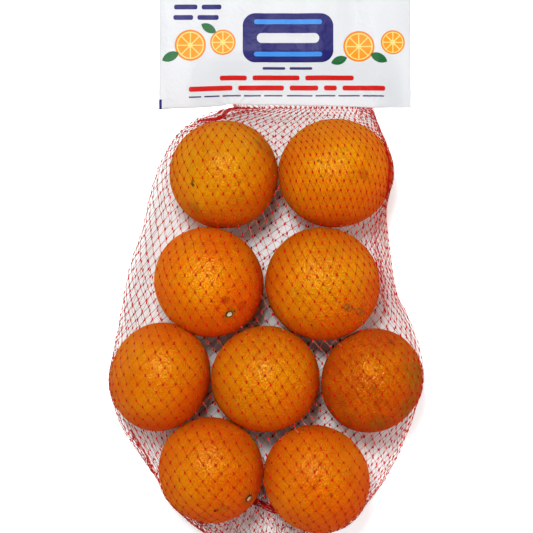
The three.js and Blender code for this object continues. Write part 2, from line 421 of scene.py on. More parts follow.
def button_wood(middle, reach):
    """Dry wood, cream in the middle and dark at its rim."""
    shader = Shader("stem_button")
    out = shader.vector("DISTANCE", shader.place, tuple(middle))
    out = shader.scaled(shader.noise(1.2 * MM), 0.8 * MM, out)
    body = shader.mix(shader.noise(0.8 * MM, 3.0), colour(236, 222, 196), colour(190, 160, 116))
    rim = shader.fade(out, 0.8 * reach, 1.05 * reach)
    shader.set("Base Color", shader.mix(rim, body, colour(58, 44, 20)))
    shader.set("Roughness", shader.scaled(rim, 0.1, 0.75))
    shader.bump(shader.noise(0.6 * MM, 3.0), 0.2 * MM, 0.8)
    return shader.material


# ---- Oranges ----

SPHERE_CUTS = 55
LUMP_SPAN = 22 * MM
PEBBLE_SPAN = 2.4 * MM
STEM_DIP = 1.0 * MM
DIP_REACH = 5.0 * MM
STEM_CREASE = 0.12 * MM
CREASES = 9
STEM_RADIUS = 3.1 * MM
BUTTON_RINGS = 9
BUTTON_SPOKES = 40
BUTTON_LOBES = 5
BUTTON_RISE = 0.75 * MM
BUTTON_PIT = 0.45 * MM
BUTTON_RIDGE = 0.08 * MM
BUTTON_SINK = 0.25 * MM
BUTTON_DEPTH = 0.6 * MM


def cube_sphere():
    """Directions and quads of a sphere made from a cube's six grids."""
    shape = bmesh.new()
    bmesh.ops.create_cube(shape, size=2)
    bmesh.ops.subdivide_edges(shape, edges=shape.edges[:], cuts=SPHERE_CUTS, use_grid_fill=True)
    directions = np.array([v.co for v in shape.verts])
    quads = np.array([[v.index for v in face.verts] for face in shape.faces])
    shape.free()
    return normalised(np.tan(directions * math.pi / 4)), quads


def peel_lift(points, index, pitting):
    """How far the peel stands above an ellipsoid: slow lumps and pebbles."""
    offset = Vector((3.1 * index, 0, 0))
    lift = []
    for point in points:
        lump = noise.noise(Vector(point) / LUMP_SPAN + offset)
        pebble = noise.noise(Vector(point) / PEBBLE_SPAN + offset)
        lift.append((0.28 * lump - 0.2 + 0.05 * pitting * pebble) * MM)
    return np.array(lift)


def stem_dip(points, stem):
    """How far the peel sinks round the stem, with creases that run out from it."""
    away = points - stem
    reach = lengths(away)
    crease = STEM_CREASE * np.sin(CREASES * np.arctan2(away[:, 1], away[:, 0]))
    dip = STEM_DIP * np.exp(-(reach / DIP_REACH) ** 2)
    return dip + crease * np.exp(-(reach / (2 * DIP_REACH)) ** 2) * (reach > STEM_RADIUS)


def orange(index, fruit, directions, quads):
    points = CENTRES[index] + turned(directions * HALF_SIZES[index], TURNS[index])
    outward = turned(normalised(directions / HALF_SIZES[index]), TURNS[index])
    lift = peel_lift(points, index, fruit.pitting)
    if fruit.stem:
        lift -= stem_dip(points, on_peel(index, *fruit.stem))
    points = points + outward * lift[:, None]
    new_piece("orange_" + fruit.name, points, [quads], peel(index, fruit), "net_bag")


def stem_button(index, fruit):
    """A low five-lobed button in the dip, with a pit in its middle."""
    top = on_peel(index, *fruit.stem)
    outward = normalised(top - CENTRES[index])
    across = normalised(np.cross(outward, (0.0, 0.0, 1.0)))
    along = np.cross(outward, across)
    share = np.linspace(0.04, 1.0, BUTTON_RINGS)[:, None]
    angle = round_angles(BUTTON_SPOKES)[None]
    radius = (STEM_RADIUS * share * (1 + 0.10 * share * np.cos(BUTTON_LOBES * angle)))[..., None]
    height = BUTTON_RISE * (1 - share ** 3) - BUTTON_PIT * np.exp(-(share / 0.25) ** 2)
    height = height + BUTTON_RIDGE * np.cos(2 * BUTTON_LOBES * angle) * share
    base = top - outward * (STEM_DIP + BUTTON_SINK)
    flat = np.cos(angle)[..., None] * across + np.sin(angle)[..., None] * along
    points = (base + radius * flat + height[..., None] * outward).reshape(-1, 3)
    points = np.vstack([points, base + outward * height[0].mean(), base - outward * BUTTON_DEPTH])
    faces = [group[:, ::-1] for group in tube_faces(BUTTON_RINGS, BUTTON_SPOKES)]
    wood = button_wood(base + outward * 0.5 * MM, 0.8 * STEM_RADIUS)
    new_piece("stem_" + fruit.name, points, faces, wood, "net_bag")


# ---- The bag's skin, which the net is laid on ----

STRAND_LENGTH = 6.7 * MM
COLUMNS = 62
NECK_COLUMNS = 33
ROWS = 71
TONGUE_ROWS = 2
TONGUE_STEP = 0.85 * STRAND_LENGTH
TONGUE_GAP = 0.25 * MM
SHORTEST_ROW = 0.45 * STRAND_LENGTH
LEVELNESS = 0.75
CLEARANCE = 0.4 * MM
LOWEST_KNOT = 0.45 * MM
FOLD_LEFT = -186 * MM
FOLD_RIGHT = -190 * MM
POLE = in_frame(-3.0, -167.0, 8.0)
POLE_WIDTH = 18 * MM
POLE_HEIGHT = 2.5 * MM
POLE_SLANT = 0.3
HOME_STEPS = 25
BACK_END = in_frame(0, -130)[1]
RIM_POINTS = 200
RIM_INSET = 0.02 * MM
EDGE_POINTS = 240
SKIN_ROWS = 96
SKIN_STEPS = 200
DOWN = np.linspace(0, 1, SKIN_ROWS)
ACROSS = np.linspace(0, 1, SKIN_STEPS)
RIM_CROWDING = 4.0
RIM_WIDTH = 0.014
TINY = 1e-6

# The numbers of the net's columns at the left and the right outline, at places down the bag in
# millimetres of y. The net turns round its edges, so that more columns lie in front higher up.
OUTLINE_PLACES = [111, 64, -11, -78, -143, -205]
LEFT_COLUMNS = [0, -4.6, -4.4, -7.0, -1.0, 0.5]
RIGHT_COLUMNS = [33, 36.0, 28.4, 28.6, 24.8, 24.5]

# Where net gathers in front: the route, the width, and how many times denser than loose net it is
# at its start and at its end.
Gather = namedtuple("Gather", "route width start end")
GATHERS = [
    Gather([(-22, 111), (-26, 107), (-31, 102.5), (-37, 100.2), (-43.5, 100.2), (-49, 99), (-54.5, 95.5),
            (-59.5, 91)], 1.6, 11.0, 2.0),
    Gather([(73, 111), (76, 104), (79, 96), (81.5, 84)], 3.5, 2.0, 1.5),
    Gather([(82, 55), (80, 40), (75, 28), (74, 13), (77, -1), (79, -15), (82, -28)], 3.0, 2.0, 1.0),
    Gather([(-101, -100), (-93.6, -117), (-86, -133), (-78, -148), (-64, -168), (-50, -183)], 2.5, 0.5, 6.0),
    Gather([(98, -120), (88, -140), (76, -160), (64, -176)], 2.5, 0.5, 3.0),
]


class Skin:
    """The surface of a CAD node."""

    def __init__(self, name):
        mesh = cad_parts[name].data
        self.points = np.array([v.co for v in mesh.vertices])
        self.edges = np.array([e.vertices[:] for e in mesh.edges])
        self.tree = BVHTree.FromPolygons(self.points.tolist(), [p.vertices[:] for p in mesh.polygons])

    def rims(self):
        """The left and the right outline seen from above, from the highest y to the lowest."""
        start, end = self.points[self.edges[:, 0]], self.points[self.edges[:, 1]]
        top, foot = self.points[:, 1].max() - RIM_INSET, self.points[:, 1].min() + RIM_INSET
        left, right = [], []
        for y in np.linspace(top, foot, RIM_POINTS):
            crosses = (start[:, 1] - y) * (end[:, 1] - y) < 0
            a, b = start[crosses], end[crosses]
            cut = a + (b - a) * ((y - a[:, 1]) / (b[:, 1] - a[:, 1]))[:, None]
            left.append(cut[cut[:, 0].argmin()])
            right.append(cut[cut[:, 0].argmax()])
        return np.array(left), np.array(right)

    def heights(self, places, side, beside):
        """Heights in front, for side 1, or at the back, for side -1. Beside the node they are given."""
        hits = [self.tree.ray_cast(Vector((x, y, side)), Vector((0, 0, -side)))[0] for x, y in places[:, :2]]
        beside = np.broadcast_to(beside, len(hits))
        return np.array([other if hit is None else hit.z for hit, other in zip(hits, beside)])


class Sheet:
    """The front or the back of the skin as a patch: u from left to right, v from neck to fold."""

    def __init__(self, skin, rims, side):
        left, right = rims
        first, second = np.argmax(left[:, 1] < FOLD_LEFT), np.argmax(right[:, 1] < FOLD_RIGHT)
        bottom = np.vstack([left[first - 1:], right[:second - 2:-1]])
        edges = left[:first], right[:second], np.array([left[0], right[0]]), bottom
        self.left, self.right, self.top, self.bottom = (resampled(edge, EDGE_POINTS) for edge in edges)
        self.skin = skin
        self.side = side

    def at(self, u, v):
        """Points of the patch between its four edges, on the skin."""
        across, down = u[..., None], v[..., None]
        sides = (1 - across) * along_line(self.left, v) + across * along_line(self.right, v)
        ends = (1 - down) * along_line(self.top, u) + down * along_line(self.bottom, u)
        corners = ((1 - across) * ((1 - down) * self.left[0] + down * self.left[-1])
                   + across * ((1 - down) * self.right[0] + down * self.right[-1]))
        points = (sides + ends - corners).reshape(-1, 3)
        inside = (np.minimum(np.minimum(u, 1 - u), np.minimum(v, 1 - v)) > TINY).ravel()
        points[inside, 2] = self.skin.heights(points[inside], self.side, points[inside, 2])
        return points.reshape(u.shape + (3,))


def route_points(route):
    return np.array([in_frame(x, y) for x, y in route])


def gather_weight(points, gather):
    """Extra crowding of the columns near a gather's route."""
    route = route_points(gather.route)[:, :2]
    best = np.full(points.shape[:-1], np.inf)
    along = np.zeros(points.shape[:-1])
    for step in range(len(route) - 1):
        start, way = route[step], route[step + 1] - route[step]
        share = np.clip(((points[..., :2] - start) @ way) / (way @ way), 0, 1)
        gap = lengths(points[..., :2] - start - share[..., None] * way)
        nearer = gap < best
        best = np.where(nearer, gap, best)
        along = np.where(nearer, (step + share) / (len(route) - 1), along)
    strength = gather.start + (gather.end - gather.start) * along
    return strength * np.exp(-(best / (gather.width * MM)) ** 2)


def all_gathers(points):
    return sum(gather_weight(points, gather) for gather in GATHERS)


def crowding(sheet):
    """The share of a sheet's columns to the left of each place across each of its rows."""
    points = sheet.at(*np.meshgrid(ACROSS, DOWN))
    steps, middles = np.diff(points, axis=1), (points[:, 1:] + points[:, :-1]) / 2
    u, x, y = (ACROSS[1:] + ACROSS[:-1]) / 2, middles[..., 0] / MM, middles[..., 1] / MM
    loose = 1
    # The net is drawn lengthwise at both rims, so its columns lie closer there.
    gathered = RIM_CROWDING * (np.exp(-(u / RIM_WIDTH) ** 2) + np.exp(-((1 - u) / RIM_WIDTH) ** 2))
    if sheet.side == 1:
        loose = 1 + 0.6 * smooth((x - 2) / 14) * smooth((y + 15) / 55)
        loose += 0.1 * smooth(1 - np.hypot(x - 39, y + 12) / 60)
        gathered = gathered + all_gathers(middles)
    filled = running_total(lengths(steps) * loose + lengths(steps[..., :2]) * gathered)
    return filled / filled[:, -1:]


def column_paths(skin, rims, numbers):
    """The way of each column down the bag, in front or at the back."""
    front, back = Sheet(skin, rims, 1), Sheet(skin, rims, -1)
    in_front, behind = crowding(front), crowding(back)
    fallen = -((front.left[:, 1] + front.right[:, 1]) / 2 - SHIFT[1]) / MM
    fallen = np.interp(DOWN, np.linspace(0, 1, EDGE_POINTS), fallen)
    outline = -np.array(OUTLINE_PLACES)
    around = np.hstack([ACROSS, 2 - ACROSS[-2::-1]])
    place = []
    for row in range(SKIN_ROWS):
        first = np.interp(fallen[row], outline, LEFT_COLUMNS)
        last = np.interp(fallen[row], outline, RIGHT_COLUMNS)
        passed = np.hstack([first + (last - first) * in_front[row],
                            last + (COLUMNS + first - last) * (1 - behind[row, -2::-1])])
        place.append(np.interp(first + (numbers - first) % COLUMNS, passed, around))
    place = np.unwrap(np.array(place), period=2, axis=0)
    even_out(place, 6)
    place %= 2
    down = np.repeat(DOWN[:, None], len(numbers), axis=1)
    before, behind = front.at(np.minimum(place, 1), down), back.at(np.minimum(2 - place, 1), down)
    return np.where((place <= 1)[..., None], before, behind).transpose(1, 0, 2)


def pushed_out(points, clearance):
    """Points moved out of the fruits to a clearance above the peel."""
    flat = points.reshape(-1, 3)
    for middle, half, turn in zip(CENTRES, HALF_SIZES, TURNS):
        away = flat - middle
        near = np.nonzero(np.abs(away).max(axis=1) < half.max() + clearance)[0]
        share = lengths(turned(away[near], -turn) / (half + clearance))
        inside = near[share < 1]
        flat[inside] = middle + away[inside] / np.maximum(share[share < 1], TINY)[:, None]
    return flat.reshape(points.shape)


def all_paths(skin, rims):
    """Paths of all whole and half columns from the neck to a flat ring at the gathered end, the pole."""
    halves = np.arange(2 * COLUMNS) / 2
    paths = column_paths(skin, rims, halves)
    for path in paths[halves > RIGHT_COLUMNS[-1]]:
        last = np.argmax(path[:, 1] < BACK_END)
        path[last:] = path[last]
    angle = math.pi - 2 * math.pi * halves / COLUMNS
    x = POLE_WIDTH * np.cos(angle)
    ring = POLE + np.stack([x, -POLE_SLANT * x, POLE_HEIGHT * np.sin(angle)], axis=1)
    way = np.linspace(0, 1, HOME_STEPS)[1:, None]
    home = paths[:, -1:] * (1 - way) + ring[:, None] * way
    paths = pushed_out(np.hstack([paths, home]), CLEARANCE)
    lift_to(paths, LOWEST_KNOT)
    return paths


def rows_passed(paths):
    """How many rows lie before each point of each path. Over the fruits the rows run nearly level."""
    cell = lengths(np.roll(paths, -1, 0) - np.roll(paths, 1, 0))
    step = np.sqrt(np.maximum(STRAND_LENGTH ** 2 - (cell / 2) ** 2, SHORTEST_ROW ** 2))
    passed = running_total(lengths(np.diff(paths, axis=1)) * 2 / (step[:, 1:] + step[:, :-1]))
    down = -paths[:, :SKIN_ROWS, 1]
    level = np.linspace(down.min(), down.max(), SKIN_STEPS)
    front = range(4, 2 * NECK_COLUMNS - 3)
    shared = np.mean([np.interp(level, down[half], passed[half, :SKIN_ROWS]) for half in front], axis=0)
    skin, home = passed[:, :SKIN_ROWS], passed[:, SKIN_ROWS:]
    start, total = skin[:, -1:], passed[:, -1:]
    skin = skin + LEVELNESS * (np.interp(down, level, shared) - skin)
    home = skin[:, -1:] + (ROWS - skin[:, -1:]) * (home - start) / (total - start)
    return TONGUE_ROWS + np.hstack([skin, home])


def laid_knots(paths, label):
    """Knots [row, column]. Odd rows lie half a column on, and the first are inside the header."""
    passed = rows_passed(paths)
    knots = np.zeros((TONGUE_ROWS + ROWS + 1, COLUMNS, 3))
    for half in range(2 * COLUMNS):
        rows = np.arange(half % 2, len(knots), 2)
        for axis in range(3):
            knots[rows, half // 2, axis] = np.interp(rows, passed[half], paths[half, :, axis])
    first, second = knots[TONGUE_ROWS], knots[TONGUE_ROWS + 1]
    aside = np.where(np.arange(COLUMNS) <= NECK_COLUMNS, TONGUE_GAP, -TONGUE_GAP)
    for row in range(TONGUE_ROWS):
        knots[row] = (first + second) / 2 if row % 2 else first
        knots[row, :, 1] = first[:, 1] + (TONGUE_ROWS - row) * TONGUE_STEP
        middle = (label.heights(knots[row], 1, 0) + label.heights(knots[row], -1, 0)) / 2
        knots[row, :, 2] = middle + aside
    return knots


def strand_ends(rows):
    """Four groups of strands, as knot numbers, in which no knot comes twice."""
    column = np.arange(COLUMNS)
    groups = []
    for parity, side in ((0, 0), (0, -1), (1, 0), (1, 1)):
        row = np.arange(parity, rows - 1, 2)[:, None]
        start = (row * COLUMNS + column).ravel()
        end = ((row + 1) * COLUMNS + (column + side) % COLUMNS).ravel()
        groups.append((start, end))
    return groups


RELAX_STEPS = 120
STRETCH_ROUNDS = 3
SAG_STEP = 0.03 * MM
SLACK_STIFFNESS = 0.05
EVENNESS = 0.1
GRIP = 0.15
GRIP_HEIGHTS = (25 * MM, 45 * MM)
RIM_REACH = 0.8 * MM


def sides(points, rims):
    """The left and the right outline's x beside each point."""
    return [np.interp(points[:, 1], rim[::-1, 1], rim[::-1, 0]) for rim in rims]


def stretch(points, groups, free):
    """Brings each strand nearer to its own length. A slack one gives way easily."""
    for start, end in groups:
        way = points[end] - points[start]
        excess = 1 - STRAND_LENGTH / (lengths(way)[:, None] + 1e-9)
        stiffness = np.where(excess > 0, 1.0, SLACK_STIFFNESS)
        pull = way * (excess * stiffness / np.maximum(free[start] + free[end], 1))
        points[start] += pull * free[start]
        points[end] -= pull * free[end]


def relaxed(knots, rims):
    """Lets the net find its shape, under gravity, on the fruits and on the ground."""
    points = knots.reshape(-1, 3).copy()
    home = points.copy()
    row = np.arange(len(points)) // COLUMNS
    left, right = sides(home, rims)
    held = (row <= TONGUE_ROWS) | (row == row[-1])
    held |= (home[:, 0] < left + RIM_REACH) | (home[:, 0] > right - RIM_REACH)
    free = (~held).astype(float)[:, None]
    groups = strand_ends(len(knots))
    low, high = GRIP_HEIGHTS
    bunched = smooth(all_gathers(home) - 0.5)
    grip = GRIP * np.maximum(smooth((home[:, 2] - low) / (high - low)), bunched)[:, None]
    for _ in range(RELAX_STEPS):
        points[:, 2:] -= SAG_STEP * free
        points[:, :2] += grip * (home - points)[:, :2]
        moved = points - home
        around = np.zeros_like(points)
        for start, end in groups:
            around[start] += moved[end] / 4
            around[end] += moved[start] / 4
        points[~held] += EVENNESS * (around - moved)[~held]
        for _ in range(STRETCH_ROUNDS):
            stretch(points, groups, free)
            points = pushed_out(points, CLEARANCE)
            lift_to(points, LOWEST_KNOT)
            points[:, 0] = np.clip(points[:, 0], *sides(points, rims))
            points[held] = home[held]
    return points.reshape(knots.shape)


# ---- Strands and knots as meshes ----

STRAND_RADIUS = 0.095 * MM
END_RADIUS = 0.12 * MM
LEANING_THICKNESS = (1.1, 0.65, 0.65, 1.1)
SLACK_THICKNESS = 1.3
FRUIT_EDGE = 1.02
STRAND_BOW = 0.6
GROUND_GAP = 0.05 * MM
KNOT_HALF_SIZES = np.array([0.6, 1.08, 0.42]) * MM
KNOT_SPOKES = 6
KNOT_RINGS = 3
TAIL_KNOTS_HIDDEN = 0.75
TAIL_STRANDS_HIDDEN = 0.5
TAIL_REACH = 55 * MM
TAIL_TOP = 22 * MM


def net_piece(name, points, groups, kind):
    new_piece(name, points, groups, net_plastic(kind), "net_bag")


def knot_axes(knots):
    """Across, lengthwise and outward directions of the net at each knot."""
    along = np.vstack([knots[1:], knots[-1:]]) - np.vstack([knots[:1], knots[:-1]])
    odd = (np.arange(len(knots)) % 2 == 1)[:, None, None]
    beside = np.where(odd, np.roll(along, -1, axis=1), np.roll(along, 1, axis=1))
    lengthwise = normalised(along + beside)
    across = np.roll(knots, -1, axis=1) - np.roll(knots, 1, axis=1)
    outward = normalised(np.cross(lengthwise, across))
    return [axis.reshape(-1, 3) for axis in (np.cross(outward, lengthwise), lengthwise, outward)]


def tube_rings(starts, ends, bulges, thickness):
    """Points of thin tubes: three square rings each, thinnest in the middle, and both ends."""
    way = normalised(ends - starts)
    side = normalised(np.cross(way, (0.1, 0.2, 1.0)))
    up = np.cross(side, way)
    rings = []
    for share, radius in ((0.1, END_RADIUS), (0.5, STRAND_RADIUS), (0.9, END_RADIUS)):
        middle = starts + (ends - starts) * share + bulges * 4 * share * (1 - share)
        rings += [middle + radius * thickness[:, None] * (side * math.cos(turn) + up * math.sin(turn))
                  for turn in round_angles(4)]
    return np.stack([*rings, starts, ends], axis=1)


def strands(name, starts, ends, outward, thickness, kind, random):
    """Strands between knots. One that is longer than the gap between its knots bows aside."""
    way = ends - starts
    gap = lengths(way)
    slack = STRAND_BOW * np.sqrt(np.clip(0.375 * gap * (STRAND_LENGTH - gap), 0, None))
    aside = normalised(np.cross(way, outward))
    turn = random.uniform(0, math.pi, len(gap))
    bulges = (aside * np.cos(turn)[:, None] + outward * np.sin(turn)[:, None]) * slack[:, None]
    points = tube_rings(starts, ends, bulges, thickness)
    lift_to(points, GROUND_GAP)
    faces = repeated(tube_faces(3, 4), points.shape[1], len(gap))
    net_piece(name, points.reshape(-1, 3), faces, kind)


def shown_in_tail(points, most_hidden, random):
    """Which knots or strands show. Near the gathered end many are drawn in among the others."""
    reach = lengths(points[:, :2] - POLE[:2])
    hidden = most_hidden * smooth((TAIL_REACH - reach) / (0.5 * TAIL_REACH)) * (points[:, 2] <= TAIL_TOP)
    return random.random(len(points)) >= hidden


def knot_piece(knots, random):
    """The knots as small ellipsoids, longest along the net, all in one mesh."""
    tilt = np.linspace(0, math.pi, KNOT_RINGS + 2)[1:-1, None]
    angle = round_angles(KNOT_SPOKES)[None]
    ball = np.stack([np.sin(tilt) * np.cos(angle), np.cos(tilt) + 0 * angle, np.sin(tilt) * np.sin(angle)],
                    axis=-1).reshape(-1, 3)
    ball = np.vstack([ball, (0, 1, 0), (0, -1, 0)])
    shown = shown_in_tail(knots.reshape(-1, 3), TAIL_KNOTS_HIDDEN, random)
    axes = np.stack(knot_axes(knots), axis=1)[shown]
    size = KNOT_HALF_SIZES * random.uniform(0.85, 1.15, (len(axes), 3))
    points = knots.reshape(-1, 1, 3)[shown] + np.einsum("pa,ka,kac->kpc", ball, size, axes)
    lift_to(points, GROUND_GAP)
    faces = repeated(tube_faces(KNOT_RINGS, KNOT_SPOKES), len(ball), len(axes))
    net_piece("net_knots", points.reshape(-1, 3), faces, "knot")


# Net that is bunched into a rope: its route, its width at its start and its end, its number of strands
# and their thickness, and how high it lies if not on the bag's skin.
Rope = namedtuple("Rope", "route start end strands thickness height", defaults=(None,))
ROPES = [
    Rope([(-25.0, 114.3), (-25.9, 111.1), (-27.5, 107.6), (-29.8, 104.0), (-32.5, 101.8), (-37.2, 101.2),
          (-42.3, 101.3), (-47.9, 100.4)], 3.2, 0.8, 12, 0.22),
    Rope([(-26, 110.4), (-21, 111.2), (-14, 110.8), (-6, 111)], 2.4, 0.8, 7, 0.17),
    Rope([(64, 111.5), (71, 108.5), (76, 102), (80.5, 93), (82.7, 84)], 6.0, 3.0, 6, 0.15),
    Rope([(81.4, 86), (82.7, 79), (84.2, 67), (84, 58), (82.2, 48)], 1.2, 1.8, 4, 0.15),
    Rope([(83, 44), (77, 33), (74, 20), (77.7, 1), (79.5, -10), (79.5, -20), (82, -34)], 4.5, 3.0, 4, 0.13),
    Rope([(-93.5, -112), (-90.7, -118), (-87.5, -123), (-83.5, -128), (-80.5, -136), (-78.2, -143)],
         1.6, 2.0, 4, 0.18),
    Rope([(-75, -152), (-69, -160), (-62, -169), (-54, -178), (-45, -186), (-34, -192)], 1.5, 4.0, 6, 0.17),
    Rope([(-24, -159), (-10.3, -164.8), (-3, -167.4), (5, -170.4), (16, -174)], 4.0, 4.0, 20, 0.22, 8.0),
    Rope([(-3, -167), (-2, -152), (-2, -134)], 9.0, 12.0, 12, 0.1, 2.0),
]
ROPE_STEP = 0.9 * MM
ROPE_SPOKES = 5
WANDER = 0.45
LOOSENESS = 0.4
ROPE_INSET = 0.2 * MM
KNOT_SWELL = 1.8
KNOT_REACH = 0.8 * MM


def tube(path, radii):
    """Points of a tube round a path, ring by ring, and its two ends."""
    side = normalised(np.cross(normalised(np.gradient(path, axis=0)), (0.1, 0.05, 1.0)))
    up = np.cross(side, normalised(np.gradient(path, axis=0)))
    turn = round_angles(ROPE_SPOKES)[None, :, None]
    ring = path[:, None] + radii[:, None, None] * (side[:, None] * np.cos(turn) + up[:, None] * np.sin(turn))
    return np.vstack([ring.reshape(-1, 3), path[:1], path[-1:]])


def rope_strand(skin, rims, rope, number, random):
    """The path and the radii of one strand, which wanders across the rope and swells at its knots."""
    route = route_points(rope.route)
    length = lengths(np.diff(route, axis=0)).sum()
    path = resampled(route, max(12, int(length / ROPE_STEP)))
    even_out(path, 12)
    along = np.linspace(0, length, len(path))
    way = normalised(np.gradient(path, axis=0))
    across = np.stack([-way[:, 1], way[:, 0], 0 * along], axis=1)
    drift = 2 * (number + 0.5) / rope.strands - 1
    drift = drift + WANDER * np.sin(along / (random.uniform(2.2, 4.0) * MM) + random.uniform(0, 6.3))
    width = np.interp(along, [0, length], [rope.start, rope.end]) * MM
    path = path + across * (drift * width / 2)[:, None]
    left, right = sides(path, rims)
    path[:, 0] = np.clip(path[:, 0], left + ROPE_INSET, right - ROPE_INSET)
    if rope.height is None:
        height = skin.heights(path, 1, POLE[2])
    else:
        height = rope.height * MM + LOOSENESS * width * random.uniform(-1, 1)
    path[:, 2] = height + random.uniform(0.1, 0.9) * MM
    even_out(path[:, 2], 4)
    lift_to(path, LOWEST_KNOT)
    knot = np.abs((along + random.uniform(0, 1) * STRAND_LENGTH) % STRAND_LENGTH - STRAND_LENGTH / 2)
    return path, rope.thickness * MM * (1 + KNOT_SWELL * np.exp(-(knot / KNOT_REACH) ** 2))


def ropes(skin, rims, random):
    points, faces, count = [], [], 0
    for rope in ROPES:
        for number in range(rope.strands):
            path, radii = rope_strand(skin, rims, rope, number, random)
            points.append(tube(path, radii))
            faces += [group + count for group in tube_faces(len(path), ROPE_SPOKES)]
            count += len(points[-1])
    net_piece("net_ropes", np.vstack(points), faces, "rope")


def net():
    """The knots, the ropes and the strands over fruit, elsewhere in front, and at the back."""
    random = np.random.default_rng(SEED)
    skin = Skin("net_bag")
    rims = skin.rims()
    knots = relaxed(laid_knots(all_paths(skin, rims), Skin("header_label")), rims)
    knot_piece(knots, random)
    ropes(skin, rims, random)
    outward = knot_axes(knots)[2]
    points = knots.reshape(-1, 3)
    groups = strand_ends(len(knots))
    starts, ends = (np.concatenate(part) for part in zip(*groups))
    middles = (points[starts] + points[ends]) / 2
    reach = [lengths((turned(middles - middle, -turn) / half)[:, :2])
             for middle, half, turn in zip(CENTRES, HALF_SIZES, TURNS)]
    loose = np.min(reach, axis=0) >= FRUIT_EDGE
    thickness = np.repeat(LEANING_THICKNESS, [len(group[0]) for group in groups])
    thickness = thickness * np.where(loose, SLACK_THICKNESS, 1.0)
    front = (starts % COLUMNS) <= NECK_COLUMNS
    shown = shown_in_tail(points[starts], TAIL_STRANDS_HIDDEN, random)
    # Strands over fruit and at the back get darker plastic: painted shade.
    for name, kind, chosen in (("net_strands_fruit", "shaded_on_fruit", front & ~loose & shown),
                               ("net_strands_front", "slack", front & loose & shown),
                               ("net_strands_back", "back", ~front & shown)):
        a, b = starts[chosen], ends[chosen]
        strands(name, points[a], points[b], outward[a], thickness[chosen], kind, random)


# ---- The header film ----

FILM_THICKNESS = 0.12 * MM
FILM_GAP = 0.25 * MM
FILM_LEAST = 0.2 * MM
FRONT_LIFT = 1.2 * MM
BACK_LIFT = -0.6 * MM
DROOP = 0.6
DROOP_REACH = 40 * MM
WRINKLE_SHARE = 0.9
SLIDE = 0.05 * MM
# How far each film's foot lies above the header's foot at places along it, both in millimetres.
FRONT_FOOT = ([-75.8, -60, -42, -31, -25, -15, 13, 55, 75, 102],
              [-0.5, 0.3, 0.5, 1.0, 2.2, 1.6, 1.3, 0.3, -0.6, 0.7])
BACK_FOOT = ([0], [6])
# Where the neck of the bag enters the header, in millimetres.
NECK_LEFT = -22.0
NECK_RIGHT = 73.6

NAVY = colour(28, 24, 104)
SKY = colour(60, 138, 214)
RED = colour(196, 28, 22)
INK = colour(60, 58, 104)
ORANGE_PRINT = colour(224, 126, 16)
PITH = colour(240, 206, 124)
FLESH = colour(232, 146, 24)
LEAF = colour(34, 104, 58)
FILM_WHITE = colour(204, 206, 209)
FILM_SHADE = colour(211, 213, 216)

# The print, in millimetres from the header's lower left corner. A slice: middle and radius. A leaf:
# middle, length and tilt in degrees. A bar: colour, middle, width, height and the radius of its
# corners. A broken line, in place of words: colour, y, height and where each of its bars starts and ends.
SLICES = ((22, 45, 11.0), (45, 47, 9.0), (141, 44, 11.0), (165, 47, 8.5))
LEAVES = ((8, 37, 13, 25), (35, 57, 12, -30), (127, 34, 12, 20), (155, 36, 13, -25))
BARS = ((NAVY, 91, 50, 64, 35, 9.0), (SKY, 91, 61.5, 48, 3.4, 1.6), (SKY, 91, 38.5, 48, 3.4, 1.6),
        (FILM_WHITE, 91, 50, 44, 7.0, 3.4), (NAVY, 0.6, 3.0, 2.6, 7.0, 0.2))
BROKEN_LINES = (
    (NAVY, 72.0, 3.4, ((10.5, 27), (30, 44))),
    (NAVY, 64.6, 3.4, ((10, 24), (27, 42))),
    (INK, 28.0, 1.9, ((73, 89), (92, 108))),
    (RED, 21.0, 3.6, ((43, 62), (66, 99), (103, 137))),
    (RED, 13.6, 3.6, ((21, 52), (56, 88), (92, 112), (116, 125), (129, 159))),
    (INK, 8.0, 1.0, ((21, 30), (32, 43), (45, 58), (60, 72), (74, 87), (90, 108), (110, 124), (126, 141),
                     (143, 158))),
)
PRINT_EDGE = 0.12


